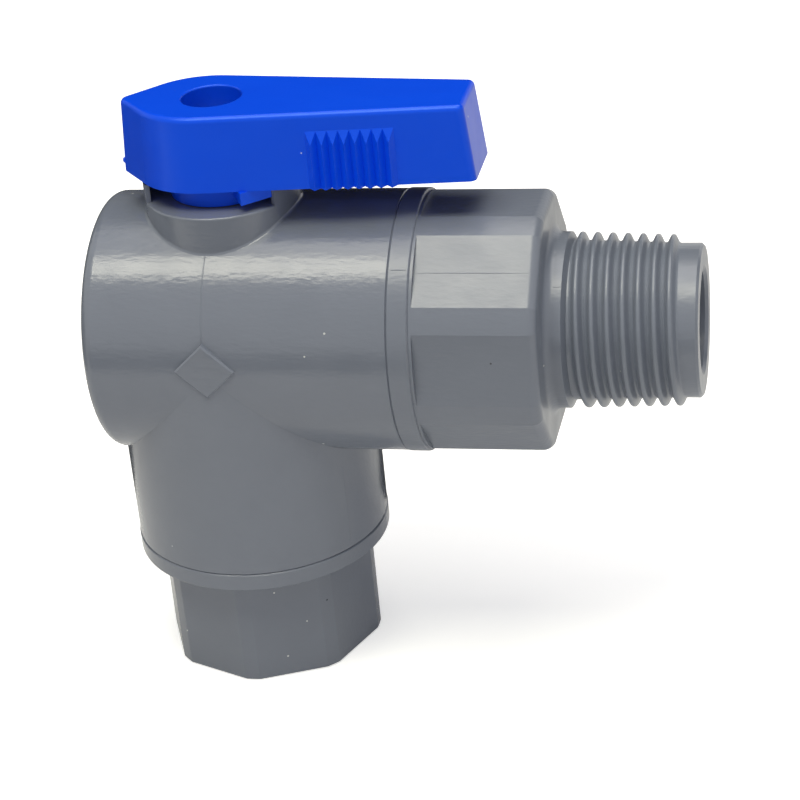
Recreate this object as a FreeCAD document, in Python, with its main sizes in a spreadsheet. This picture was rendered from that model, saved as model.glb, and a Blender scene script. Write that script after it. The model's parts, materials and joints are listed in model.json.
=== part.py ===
import FreeCAD, Part
import os
import Sketcher

# A small right-angle ball valve. The barrel lies along X, the outlet points down and the stem stands on top.
# Every piece is drawn about the point where the barrel's axis crosses the stem's axis, then lifted so that
# the frame's origin is the centre of the outlet's mouth. The lever is drawn open, along +X. All sizes in mm.

SIZES = [
    # ball, and the barrel and branch round it
    ("ball_radius", 10.5),
    ("ball_room", 0.75),
    ("port_margin", 0.5),
    ("slot_width", 3.2),
    ("slot_depth", 2.9),
    ("barrel_wall", 4.7),
    ("closed_end_inset", 0.46),
    ("closed_end_round", 1.47),
    ("barrel_front_reach", 5.93),
    ("branch_reach", 11.55),
    ("seam_chamfer", 0.15),
    ("pad_half_width", 3.75),
    ("pad_half_height", 3.5),
    ("pad_rise", 0.3),
    ("pad_lift", 0.7),
    ("pad_shift", 0.25),
    ("pad_chamfer", 0.2),
    # stem boss and its collar
    ("boss_radius", 9.45),
    ("boss_blend", 0.35),
    ("boss_rise", 1.5),
    ("collar_height", 2.25),
    ("collar_wall", 0.6),
    ("sill_round", 0.25),
    ("window_right_angle", 55.4),
    ("window_left_angle", 61.4),
    ("lever_swing", 90.0),
    # fits
    ("slide_gap", 0.05),
    ("ring_gap", 0.03),
    ("face_gap", 0.3),
    ("hub_gap", 0.15),
    ("stop_gap_angle", 0.4),
    # seats and their cushions
    ("seat_wall", 2.1),
    ("seat_length", 3.0),
    ("seat_setback", 0.4),
    ("cushion_section", 0.68),
    # spigots shared by both connectors
    ("seat_lip", 1.4),
    ("nose_wall", 1.25),
    ("spigot_room", 0.25),
    ("body_ring_section", 0.9),
    ("body_ring_setback", 3.5),
    ("flange_step", 0.09),
    ("flange_edge_round", 0.25),
    ("flats_half_angle", 16.7),
    ("flats_setback", 0.35),
    # inlet connector
    ("inlet_flange_length", 2.58),
    ("inlet_flats_length", 14.94),
    ("inlet_land_inset", 0.29),
    ("inlet_flats_turn", 20.2),
    ("inlet_end_round", 1.2),
    ("neck_radius", 10.63),
    ("neck_length", 2.1),
    ("neck_foot_round", 1.1),
    ("neck_chamfer", 0.5),
    ("thread_root_radius", 9.62),
    ("thread_taper_drop", 0.39),
    ("thread_length", 12.6),
    ("pilot_length", 2.68),
    ("pilot_chamfer", 0.3),
    ("inlet_bore_radius", 6.156),
    ("inlet_bore_depth", 36.0),
    ("mouth_chamfer", 0.4),
    # outlet connector
    ("outlet_flange_length", 2.23),
    ("outlet_flats_length", 14.67),
    ("outlet_wall", 2.625),
    ("outlet_end_round", 0.25),
    ("outlet_bore_radius", 10.4),
    ("outlet_bore_depth", 14.0),
    ("outlet_land_rise", 0.72),
    # stem
    ("stem_radius", 4.5),
    ("stem_flange_radius", 6.1),
    ("stem_flange_gap", 0.2),
    ("stem_flange_thickness", 1.5),
    ("washer_thickness", 0.5),
    ("stem_ring_section", 0.55),
    ("tang_length", 9.0),
    ("tang_tip_gap", 0.2),
    ("shank_side", 6.2),
    ("shank_height", 4.15),
    # lever
    ("lever_height", 9.25),
    ("lever_half_width", 7.5),
    ("lever_taper_angle", 5.4),
    ("lever_nose_reach", 11.5),
    ("lever_nose_half_angle", 49.0),
    ("lever_reach", 30.95),
    ("lever_side_draft", 1.5),
    ("lever_nose_draft", 3.0),
    ("lever_end_draft", 6.1),
    ("lever_nose_round", 1.0),
    ("lever_shoulder_round", 9.0),
    ("lever_end_round", 0.9),
    ("lever_top_round", 0.7),
    ("lever_wall", 1.4),
    ("lever_top_thickness", 1.8),
    ("lever_rib", 1.2),
    ("lever_cell", 5.6),
    ("hub_radius", 6.2),
    ("hole_radius", 3.62),
    ("hole_edge_round", 0.25),
    ("shelf_thickness", 1.4),
    ("lug_inner_radius", 5.5),
    ("lug_inset", 0.35),
    ("lug_web_radius", 7.6),
    ("lug_lift", 1.0),
    # finger grips
    ("grip_start", 12.55),
    ("grip_pitch", 1.3),
    ("grip_count", 8),
    ("grip_height", 7.05),
    ("grip_rise", 0.75),
    ("grip_hip_height", 1.45),
    # handle screw
    ("screw_radius", 1.75),
    ("screw_length", 10.0),
    ("screw_head_radius", 2.9),
    ("screw_head_height", 1.8),
    ("screw_head_round", 0.8),
    ("screw_slot_width", 0.7),
    ("screw_slot_length", 3.2),
    ("screw_slot_depth", 1.0),
    ("screw_tip_room", 0.5),
    ("screw_washer_radius", 3.4),
    ("screw_washer_thickness", 0.5),
    ("screw_hole_radius", 2.0),
]

doc = FreeCAD.newDocument("angle_ball_valve")
dim = doc.addObject("Spreadsheet::Sheet", "dim")
for row, (alias, value) in enumerate(SIZES, start=1):
    dim.set("A%d" % row, alias)
    dim.set("B%d" % row, str(value))
    dim.setAlias("B%d" % row, alias)
doc.recompute()

# Lengths that several pieces share, as expressions over the sheet. Distances run from the axes' crossing.
BORE = "(dim.ball_radius + dim.ball_room)"
BARREL = "(dim.ball_radius + dim.ball_room + dim.barrel_wall)"
CLOSED_END = "(dim.ball_radius + dim.ball_room + dim.barrel_wall - dim.closed_end_inset)"
INLET_SEAM = "(dim.ball_radius + dim.ball_room + dim.barrel_wall + dim.barrel_front_reach)"
OUTLET_SEAM = "(dim.ball_radius + dim.ball_room + dim.barrel_wall + dim.branch_reach)"
FLANGE = "(dim.ball_radius + dim.ball_room + dim.barrel_wall + dim.flange_step)"
FLOOR = "(dim.ball_radius + dim.ball_room + dim.barrel_wall + dim.boss_rise)"
SEAT_BACK = "(dim.ball_radius + dim.seat_setback)"
SEAT_FRONT = "(dim.ball_radius + dim.seat_setback - dim.seat_length)"
SEAT_OUTSIDE = "(%s - dim.face_gap)" % SEAT_FRONT
SEAT_BORE = "(%s - dim.seat_wall)" % SEAT_OUTSIDE
PORT = "(%s - dim.port_margin)" % SEAT_BORE
SEAT_POCKET = "(%s + dim.slide_gap)" % SEAT_OUTSIDE
CUSHION_GROOVE = "(2 * dim.cushion_section + 2 * dim.ring_gap)"
NOSE_TIP = "(dim.ball_radius + dim.seat_setback - dim.seat_length + dim.seat_lip)"
NOSE_RADIUS = "(%s + dim.nose_wall)" % SEAT_POCKET
SPIGOT_START = "(dim.ball_radius + dim.ball_room + dim.spigot_room)"
SPIGOT_RADIUS = "(dim.ball_radius + dim.ball_room - dim.slide_gap)"
BODY_RING_FLOOR = "(dim.ball_radius + dim.ball_room - 2 * dim.body_ring_section - 2 * dim.ring_gap)"
OUTLET_REACH = "(%s + dim.outlet_flange_length + dim.outlet_flats_length)" % OUTLET_SEAM
COLLAR_TOP = "(%s + dim.collar_height)" % FLOOR
STEM_BORE = "(dim.stem_radius + dim.slide_gap)"
FLANGE_BOTTOM = "(dim.ball_radius + dim.stem_flange_gap)"
FLANGE_TOP = "(dim.ball_radius + dim.stem_flange_gap + dim.stem_flange_thickness)"
POCKET_TOP = ("(dim.ball_radius + dim.stem_flange_gap + dim.stem_flange_thickness"
              " + dim.washer_thickness + dim.slide_gap)")
STEM_GROOVE_FLOOR = "(dim.stem_radius + dim.slide_gap - 2 * dim.stem_ring_section - 2 * dim.ring_gap)"
STEM_TOP = "(%s + dim.shank_height)" % FLOOR
SHELF_TOP = "(%s + dim.shelf_thickness)" % STEM_TOP
SCREW_SEAT = "(%s + dim.screw_washer_thickness)" % SHELF_TOP
LEVER_BOTTOM = "(%s + dim.face_gap)" % COLLAR_TOP
LEVER_TOP = "(%s + dim.lever_height)" % LEVER_BOTTOM
HUB_BOTTOM = "(%s + dim.hub_gap)" % FLOOR


def size(expression):
    """The number that an expression over the sheet gives."""
    value = dim.evalExpression(expression)
    return float(getattr(value, "Value", value))


def new_body(label):
    """A piece of its own, lifted from the axes' crossing to the frame's origin."""
    body = doc.addObject("PartDesign::Body", label)
    body.Label = label
    body.setExpression("Placement.Base.z", OUTLET_REACH)
    return body


def new_sketch(body, role, lift):
    """An empty sketch on one of the body's origin planes, moved along the plane's normal."""
    sketch = body.newObject("Sketcher::SketchObject", body.Label + "_sketch")
    plane = [item for item in body.Origin.OriginFeatures if item.Role == role][0]
    sketch.AttachmentSupport = [(plane, "")]
    sketch.MapMode = "FlatFace"
    sketch.setExpression("AttachmentOffset.Base.z", lift)
    return sketch


def pin_point(sketch, curve, end, across, up):
    """Tie one end of a curve to the two expressions that place it."""
    for kind, text in (("DistanceX", across), ("DistanceY", up)):
        number = sketch.addConstraint(Sketcher.Constraint(kind, -1, 1, curve, end, size(text)))
        sketch.setExpression("Constraints[%d]" % number, text)


def polygon(body, role, corners, lift="0"):
    """A closed outline whose corners are pairs of expressions."""
    sketch = new_sketch(body, role, lift)
    points = [FreeCAD.Vector(size(across), size(up), 0) for across, up in corners]
    count = len(points)
    for index in range(count):
        sketch.addGeometry(Part.LineSegment(points[index], points[(index + 1) % count]), False)
    for index in range(count):
        sketch.addConstraint(Sketcher.Constraint("Coincident", index, 2, (index + 1) % count, 1))
        pin_point(sketch, index, 1, *corners[index])
    return sketch


def circle(body, role, radius, lift="0"):
    """A circle about the plane's own origin."""
    sketch = new_sketch(body, role, lift)
    sketch.addGeometry(Part.Circle(FreeCAD.Vector(0, 0, 0), FreeCAD.Vector(0, 0, 1), size(radius)), False)
    sketch.addConstraint(Sketcher.Constraint("Coincident", 0, 3, -1, 1))
    number = sketch.addConstraint(Sketcher.Constraint("Radius", 0, size(radius)))
    sketch.setExpression("Constraints[%d]" % number, radius)
    return sketch


def volume_change(body, before, sign, what):
    """Stop when a feature didn't change the piece in the way that it should."""
    doc.recompute()
    change = (body.Shape.Volume - before) * sign
    if change < 1e-3:
        raise ValueError("%s: %s changed nothing" % (body.Label, what))


def extrude(body, sketch, length, kind="Pad", reverse=False, both=False, lean=None):
    """A pad or a pocket of the given length along the sketch's normal, or leaning by two slopes."""
    before = body.Shape.Volume if body.Tip else 0.0
    feature = body.newObject("PartDesign::" + kind, "%s_%s" % (body.Label, kind.lower()))
    feature.Profile = sketch
    feature.setExpression("Length", length)
    feature.Reversed = reverse
    feature.Midplane = both
    if lean:
        feature.UseCustomVector = True
        feature.AlongSketchNormal = True
        feature.Direction = FreeCAD.Vector(size(lean[0]), size(lean[1]), 1)
        feature.setExpression("Direction.x", lean[0])
        feature.setExpression("Direction.y", lean[1])
    volume_change(body, before, 1 if kind == "Pad" else -1, feature.Label)
    return feature


def turn(body, corners, axis, kind="Revolution"):
    """A full turn of an outline in the XZ plane, about X (H_Axis) or Z (V_Axis)."""
    before = body.Shape.Volume if body.Tip else 0.0
    sketch = polygon(body, "XZ_Plane", corners)
    feature = body.newObject("PartDesign::" + kind, "%s_%s" % (body.Label, kind.lower()))
    feature.Profile = sketch
    feature.ReferenceAxis = (sketch, [axis])
    feature.Angle = 360
    volume_change(body, before, 1 if kind == "Revolution" else -1, feature.Label)
    return feature


def dress(body, kind, length_name, length, test):
    """A fillet or a chamfer on every edge that the test picks by its shape."""
    base = body.Tip
    names = ["Edge%d" % (index + 1) for index, edge in enumerate(base.Shape.Edges) if test(edge)]
    if not names:
        raise ValueError("%s: no edge for %s" % (body.Label, kind))
    feature = body.newObject("PartDesign::" + kind, "%s_%s" % (body.Label, kind.lower()))
    feature.Base = (base, names)
    feature.setExpression(length_name, length)
    doc.recompute()
    return feature


def draft_faces(body, angle, neutral_height, test):
    """Slope the flat faces whose normals the test picks, about a level face at the given height."""
    base = body.Tip
    height = size(neutral_height)
    picked, neutral = [], []
    for number, face in enumerate(base.Shape.Faces, start=1):
        normal = face.normalAt(0, 0)
        if test(normal):
            picked.append("Face%d" % number)
        elif normal.z > 0.99 and abs(face.CenterOfMass.z - height) < 0.01:
            neutral.append("Face%d" % number)
    draft = body.newObject("PartDesign::Draft", body.Label + "_draft")
    draft.Base = (base, picked)
    draft.NeutralPlane = (base, neutral)
    draft.setExpression("Angle", angle)
    doc.recompute()
    return draft


def is_ring(edge, axis, radius, place):
    """True for a full circle about an axis, of a radius and at a place along it."""
    curve = edge.Curve
    if not isinstance(curve, Part.Circle):
        return False
    return (abs(curve.Radius - radius) < 0.01 and abs(abs(curve.Axis[axis]) - 1) < 1e-6
            and abs(curve.Center[axis] - place) < 0.01)


def is_boss_foot(edge):
    """True for the curve where the boss stands on the barrel."""
    boss, barrel = size("dim.boss_radius"), size(BARREL)
    middle = edge.valueAt((edge.FirstParameter + edge.LastParameter) / 2)
    on_boss = abs((middle.x ** 2 + middle.y ** 2) ** 0.5 - boss) < 0.01
    on_barrel = abs((middle.y ** 2 + middle.z ** 2) ** 0.5 - barrel) < 0.01
    return on_boss and on_barrel and not isinstance(edge.Curve, Part.Line)


def is_pad_rim(edge):
    """True for an edge round the diamond's face."""
    front = -size(BARREL + " + dim.pad_rise")
    return all(abs(vertex.Y - front) < 0.01 for vertex in edge.Vertexes)


def is_sill_rim(edge):
    """True for the outer edge of the sill, between the window's two walls."""
    if not isinstance(edge.Curve, Part.Circle):
        return False
    middle = edge.valueAt((edge.FirstParameter + edge.LastParameter) / 2)
    return (abs(edge.Curve.Radius - size("dim.boss_radius")) < 0.01 and middle.y < 0
            and abs(middle.z - size(FLOOR)) < 0.01)


def is_grip_end(edge, place, radius):
    """True for an edge round the wrench grip's outer end, at a place along X."""
    points = [vertex.Point for vertex in edge.Vertexes]
    return all(abs(point.x - place) < 0.01 and (point.y ** 2 + point.z ** 2) ** 0.5 > radius
               for point in points)


def make_valve_body():
    body = new_body("valve_body")
    # barrel with its closed left end, then the branch, trimmed flush with that end, and the boss
    turn(body, [("-" + CLOSED_END, "0"),
                ("-" + CLOSED_END, BARREL),
                (INLET_SEAM + " - dim.seam_chamfer", BARREL),
                (INLET_SEAM, BARREL + " - dim.seam_chamfer"),
                (INLET_SEAM, "0")], "H_Axis")
    dress(body, "Fillet", "Radius", "dim.closed_end_round",
          lambda edge: is_ring(edge, 0, size(BARREL), -size(CLOSED_END)))
    turn(body, [("0", "0"),
                (BARREL, "0"),
                (BARREL, "dim.seam_chamfer - " + OUTLET_SEAM),
                (BARREL + " - dim.seam_chamfer", "-" + OUTLET_SEAM),
                ("0", "-" + OUTLET_SEAM)], "V_Axis")
    trim = polygon(body, "XZ_Plane", [("-2 * " + BARREL, "-" + BARREL),
                                      ("-" + CLOSED_END, "-" + BARREL),
                                      ("-" + CLOSED_END, "dim.face_gap"),
                                      ("-2 * " + BARREL, "dim.face_gap")])
    extrude(body, trim, "2 * " + BARREL, "Pocket", both=True)
    extrude(body, circle(body, "XY_Plane", "dim.boss_radius"), COLLAR_TOP)
    dress(body, "Fillet", "Radius", "dim.boss_blend", is_boss_foot)
    # the plain raised diamond on the crossing
    diamond = polygon(body, "XZ_Plane", [("-dim.pad_shift", "dim.pad_lift + dim.pad_half_height"),
                                         ("dim.pad_half_width - dim.pad_shift", "dim.pad_lift"),
                                         ("-dim.pad_shift", "dim.pad_lift - dim.pad_half_height"),
                                         ("-dim.pad_half_width - dim.pad_shift", "dim.pad_lift")],
                      lift=BARREL + " / 2")
    extrude(body, diamond, BARREL + " / 2 + dim.pad_rise")
    dress(body, "Chamfer", "Size", "dim.pad_chamfer", is_pad_rim)
    # crossing bores for the ball, with the rear seat's pocket
    turn(body, [("0", "0"),
                ("-" + SEAT_BACK, "0"),
                ("-" + SEAT_BACK, SEAT_POCKET),
                ("-" + SEAT_FRONT, SEAT_POCKET),
                ("-" + SEAT_FRONT, BORE),
                (INLET_SEAM, BORE),
                (INLET_SEAM, "0")], "H_Axis", "Groove")
    extrude(body, circle(body, "XY_Plane", BORE), OUTLET_SEAM, "Pocket")
    # pocket for the stem's flange, stem bore, recess in the boss and the lever's window
    extrude(body, circle(body, "XY_Plane", "dim.stem_flange_radius + dim.slide_gap"),
            POCKET_TOP, "Pocket", reverse=True)
    extrude(body, circle(body, "XY_Plane", STEM_BORE), COLLAR_TOP, "Pocket", reverse=True)
    extrude(body, circle(body, "XY_Plane", "dim.boss_radius - dim.collar_wall", lift=FLOOR),
            "dim.collar_height", "Pocket", reverse=True)
    reach = "2 * dim.boss_radius"
    right, left = "(dim.window_right_angle)", "(dim.window_left_angle)"
    window = polygon(body, "XY_Plane", [("0", "0"),
                                        ("%s * sin%s" % (reach, right), "-%s * cos%s" % (reach, right)),
                                        ("0", "-" + reach),
                                        ("-%s * sin%s" % (reach, left), "-%s * cos%s" % (reach, left))],
                     lift=FLOOR)
    extrude(body, window, "dim.collar_height", "Pocket", reverse=True)
    dress(body, "Fillet", "Radius", "dim.sill_round", is_sill_rim)
    return body


def spigot_outline():
    """The turned outline of a connector's spigot, from its nose to the shoulder, as (along, radius)."""
    groove_middle = INLET_SEAM + " - dim.body_ring_setback"
    groove_half = "(dim.body_ring_section + dim.ring_gap)"
    return [(NOSE_TIP, "0"),
            (NOSE_TIP, NOSE_RADIUS),
            (SPIGOT_START, NOSE_RADIUS),
            (SPIGOT_START, SPIGOT_RADIUS),
            (groove_middle + " - " + groove_half, SPIGOT_RADIUS),
            (groove_middle + " - " + groove_half, BODY_RING_FLOOR),
            (groove_middle + " + " + groove_half, BODY_RING_FLOOR),
            (groove_middle + " + " + groove_half, SPIGOT_RADIUS)]


def seat_pocket_outline():
    """The seat's pocket with the cushion's groove behind it, as (along, radius)."""
    return [(NOSE_TIP, "0"),
            (NOSE_TIP, SEAT_POCKET),
            (SEAT_BACK + " + " + CUSHION_GROOVE, SEAT_POCKET),
            (SEAT_BACK + " + " + CUSHION_GROOVE, SEAT_POCKET + " - " + CUSHION_GROOVE),
            (SEAT_BACK, SEAT_POCKET + " - " + CUSHION_GROOVE),
            (SEAT_BACK, SEAT_BORE)]


def wrench_grip(body, land_radius, flats_radius, first_corner, start, length):
    """A round bar along X with eight flats cut into it, so that narrow round lands stay between the flats."""
    extrude(body, circle(body, "YZ_Plane", land_radius, lift=start), length)
    flats_start = start + " + dim.flats_setback"
    corners = []
    for index in range(8):
        angle = "(%s + %d)" % (first_corner, 45 * index)
        radius = flats_radius + " / cos(22.5)"
        corners.append((radius + " * cos(%s)" % angle, radius + " * sin(%s)" % angle))
    waste = polygon(body, "YZ_Plane", corners, lift=flats_start)
    rim = waste.addGeometry(Part.Circle(FreeCAD.Vector(0, 0, 0), FreeCAD.Vector(0, 0, 1),
                                        2 * size(land_radius)), False)
    waste.addConstraint(Sketcher.Constraint("Coincident", rim, 3, -1, 1))
    number = waste.addConstraint(Sketcher.Constraint("Radius", rim, 2 * size(land_radius)))
    waste.setExpression("Constraints[%d]" % number, "2 * " + land_radius)
    extrude(body, waste, length, "Pocket", reverse=True)


def make_connector(label, shoulder, flange_length, flats_length, land_radius, flats_radius, first_corner,
                   end_round, tail, bore):
    """A connector along +X: spigot, flange, wrench grip, then its own tail and bore."""
    body = new_body(label)
    flange_end = shoulder + " + " + flange_length
    flats_end = flange_end + " + " + flats_length
    shift = " + %s - %s" % (shoulder, INLET_SEAM)
    spigot = [(along, radius) for along, radius in spigot_outline()]
    for index in range(4, 8):
        spigot[index] = (spigot[index][0] + shift, spigot[index][1])
    flange = [(shoulder, SPIGOT_RADIUS),
              (shoulder, FLANGE + " - dim.seam_chamfer"),
              (shoulder + " + dim.seam_chamfer", FLANGE),
              (flange_end, FLANGE)]
    turn(body, spigot + flange + tail(flange_end, flats_end), "H_Axis")
    dress(body, "Fillet", "Radius", "dim.flange_edge_round",
          lambda edge: is_ring(edge, 0, size(FLANGE), size(flange_end)))
    wrench_grip(body, land_radius, flats_radius, first_corner, flange_end, flats_length)
    dress(body, "Fillet", "Radius", end_round,
          lambda edge: is_grip_end(edge, size(flats_end), 0.97 * size(flats_radius)))
    turn(body, seat_pocket_outline() + bore(flats_end), "H_Axis", "Groove")
    return body


def make_inlet_connector():
    def tail(flange_end, flats_end):
        neck_end = flats_end + " + dim.neck_length"
        thread_end = neck_end + " + dim.neck_chamfer + dim.thread_length"
        pilot = "dim.thread_root_radius - dim.thread_taper_drop"
        pilot_end = thread_end + " + dim.pilot_length"
        return [(flange_end, "dim.neck_radius"),
                (neck_end, "dim.neck_radius"),
                (neck_end + " + dim.neck_chamfer", "dim.thread_root_radius"),
                (thread_end, pilot),
                (pilot_end + " - dim.pilot_chamfer", pilot),
                (pilot_end, pilot + " - dim.pilot_chamfer"),
                (pilot_end, "0")]

    def bore(flats_end):
        mouth = (flats_end + " + dim.neck_length + dim.neck_chamfer + dim.thread_length"
                 " + dim.pilot_length")
        return [(mouth + " - dim.inlet_bore_depth", SEAT_BORE),
                (mouth + " - dim.inlet_bore_depth", "dim.inlet_bore_radius"),
                (mouth + " - dim.mouth_chamfer", "dim.inlet_bore_radius"),
                (mouth, "dim.inlet_bore_radius + dim.mouth_chamfer"),
                (mouth, "0")]

    land = "(%s - dim.inlet_land_inset)" % FLANGE
    body = make_connector("inlet_connector", INLET_SEAM, "dim.inlet_flange_length",
                          "dim.inlet_flats_length", land, land + " * cos(dim.flats_half_angle)",
                          "dim.inlet_flats_turn", "dim.inlet_end_round", tail, bore)
    neck_foot = INLET_SEAM + " + dim.inlet_flange_length + dim.inlet_flats_length"
    dress(body, "Fillet", "Radius", "dim.neck_foot_round",
          lambda edge: is_ring(edge, 0, size("dim.neck_radius"), size(neck_foot)))
    return body


def point_down(body):
    """Turn a piece that is drawn along +X so that it points down the branch."""
    body.Placement = FreeCAD.Placement(body.Placement.Base, FreeCAD.Rotation(FreeCAD.Vector(0, 1, 0), 90))
    body.setExpression("Placement.Base.z", OUTLET_REACH)


def make_outlet_connector():
    def tail(flange_end, flats_end):
        return [(flange_end, "0")]

    def bore(flats_end):
        drill_end = flats_end + " - dim.outlet_bore_depth"
        return [(drill_end + " - (dim.outlet_bore_radius - %s) / 2" % SEAT_BORE,
                 SEAT_BORE),
                (drill_end, "dim.outlet_bore_radius"),
                (flats_end, "dim.outlet_bore_radius"),
                (flats_end, "0")]

    flats = "(dim.outlet_bore_radius + dim.outlet_wall)"
    body = make_connector("outlet_connector", OUTLET_SEAM, "dim.outlet_flange_length",
                          "dim.outlet_flats_length", flats + " + dim.outlet_land_rise", flats, "0",
                          "dim.outlet_end_round", tail, bore)
    point_down(body)
    return body


def make_seat(label):
    """A seat ring on +X whose face follows the ball."""
    body = new_body(label)
    turn(body, [(SEAT_FRONT, SEAT_BORE),
                (SEAT_FRONT, SEAT_OUTSIDE),
                (SEAT_BACK, SEAT_OUTSIDE),
                (SEAT_BACK, SEAT_BORE)], "H_Axis")
    before = body.Shape.Volume
    dish = body.newObject("PartDesign::SubtractiveSphere", label + "_dish")
    dish.setExpression("Radius", "dim.ball_radius + dim.slide_gap")
    volume_change(body, before, -1, dish.Label)
    return body


def make_ring(label, centre_radius, section, along, about_x=True):
    """A round-section rubber ring about X or about Z, at a place along that axis."""
    body = new_body(label)
    ring = body.newObject("PartDesign::AdditiveTorus", label + "_torus")
    ring.setExpression("Radius1", centre_radius)
    ring.setExpression("Radius2", section)
    plane = [item for item in body.Origin.OriginFeatures
             if item.Role == ("YZ_Plane" if about_x else "XY_Plane")][0]
    ring.AttachmentSupport = [(plane, "")]
    ring.MapMode = "FlatFace"
    ring.setExpression("AttachmentOffset.Base.z", along)
    doc.recompute()
    return body


def make_seats_and_rings():
    make_seat("inlet_seat")
    point_down(make_seat("outlet_seat"))
    rear = make_seat("rear_seat")
    rear.Placement = FreeCAD.Placement(rear.Placement.Base, FreeCAD.Rotation(FreeCAD.Vector(0, 0, 1), 180))
    rear.setExpression("Placement.Base.z", OUTLET_REACH)
    centre = SEAT_POCKET + " - " + CUSHION_GROOVE + " / 2"
    along = SEAT_BACK + " + " + CUSHION_GROOVE + " / 2"
    make_ring("inlet_seat_cushion", centre, "dim.cushion_section", along)
    point_down(make_ring("outlet_seat_cushion", centre, "dim.cushion_section", along))
    centre = BORE + " - dim.body_ring_section - dim.ring_gap"
    make_ring("inlet_body_ring", centre, "dim.body_ring_section",
              INLET_SEAM + " - dim.body_ring_setback")
    point_down(make_ring("outlet_body_ring", centre, "dim.body_ring_section",
                         OUTLET_SEAM + " - dim.body_ring_setback"))


def make_ball():
    """The ball with one leg towards the inlet, one down to the outlet, and the tang's slot along X."""
    body = new_body("ball")
    ball = body.newObject("PartDesign::AdditiveSphere", "ball_sphere")
    ball.setExpression("Radius", "dim.ball_radius")
    doc.recompute()
    extrude(body, circle(body, "YZ_Plane", PORT), "dim.ball_radius", "Pocket", reverse=True)
    extrude(body, circle(body, "XY_Plane", PORT), "dim.ball_radius", "Pocket")
    before = body.Shape.Volume
    elbow = body.newObject("PartDesign::SubtractiveSphere", "ball_elbow")
    elbow.setExpression("Radius", PORT)
    volume_change(body, before, -1, elbow.Label)
    half = "dim.slot_width / 2"
    slot = polygon(body, "YZ_Plane", [("-" + half, "dim.ball_radius - dim.slot_depth"),
                                      (half, "dim.ball_radius - dim.slot_depth"),
                                      (half, "dim.ball_radius + 1"),
                                      ("-" + half, "dim.ball_radius + 1")])
    extrude(body, slot, "2 * dim.ball_radius", "Pocket", both=True)
    return body


def stem_groove_height(number):
    """The height of one of the two ring grooves, shared out over the stem's bore."""
    return "(%s + (%s - %s) * %d / 4)" % (POCKET_TOP, FLOOR, POCKET_TOP, 2 * number + 1)


def make_stem():
    body = new_body("stem")
    half = "(dim.stem_ring_section + dim.ring_gap)"
    corners = [("0", FLANGE_BOTTOM),
               ("dim.stem_flange_radius", FLANGE_BOTTOM),
               ("dim.stem_flange_radius", FLANGE_TOP),
               ("dim.stem_radius", FLANGE_TOP)]
    for number in range(2):
        middle = stem_groove_height(number)
        corners += [("dim.stem_radius", middle + " - " + half),
                    (STEM_GROOVE_FLOOR, middle + " - " + half),
                    (STEM_GROOVE_FLOOR, middle + " + " + half),
                    ("dim.stem_radius", middle + " + " + half)]
    corners += [("dim.stem_radius", FLOOR), ("0", FLOOR)]
    turn(body, corners, "V_Axis")
    side = "dim.shank_side / 2"
    square = polygon(body, "XY_Plane", [("-" + side, "-" + side), (side, "-" + side),
                                        (side, side), ("-" + side, side)], lift=FLOOR)
    extrude(body, square, "dim.shank_height")
    long_half, thin_half = "dim.tang_length / 2", "(dim.slot_width / 2 - dim.slide_gap)"
    tang = polygon(body, "XY_Plane", [("-" + long_half, "-" + thin_half), (long_half, "-" + thin_half),
                                      (long_half, thin_half), ("-" + long_half, thin_half)],
                   lift=FLANGE_BOTTOM)
    extrude(body, tang, "dim.slot_depth - dim.tang_tip_gap + dim.stem_flange_gap", reverse=True)
    extrude(body, circle(body, "XY_Plane", "dim.screw_radius + dim.slide_gap", lift=STEM_TOP),
            "dim.screw_length - dim.shelf_thickness - dim.screw_washer_thickness + dim.screw_tip_room",
            "Pocket")
    return body


def make_thrust_washer():
    body = new_body("thrust_washer")
    turn(body, [(STEM_BORE, FLANGE_TOP),
                ("dim.stem_flange_radius", FLANGE_TOP),
                ("dim.stem_flange_radius", FLANGE_TOP + " + dim.washer_thickness"),
                (STEM_BORE, FLANGE_TOP + " + dim.washer_thickness")], "V_Axis")
    return body


def lever_outline(nose, width, reach):
    """The lever in plan: pointed nose, widest at the hub, tapering to a square end."""
    slope, nose_slope = "tan(dim.lever_taper_angle)", "tan(dim.lever_nose_half_angle)"
    shoulder = "((%s) - (%s) * %s) / (%s + %s)" % (width, nose, nose_slope, nose_slope, slope)
    half = "((%s) + (%s)) * %s" % (shoulder, nose, nose_slope)
    end = "(%s) - (%s) * %s" % (width, reach, slope)
    return [("-(%s)" % nose, "0"),
            (shoulder, "-(%s)" % half),
            (reach, "-(%s)" % end),
            (reach, end),
            (shoulder, half)]


def offset_outline(inset, end_inset):
    """The lever's outline moved in by one distance, and its end by another."""
    return lever_outline("dim.lever_nose_reach - (%s) / sin(dim.lever_nose_half_angle)" % inset,
                         "dim.lever_half_width - (%s) / cos(dim.lever_taper_angle)" % inset,
                         "dim.lever_reach - (%s)" % end_inset)


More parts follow.
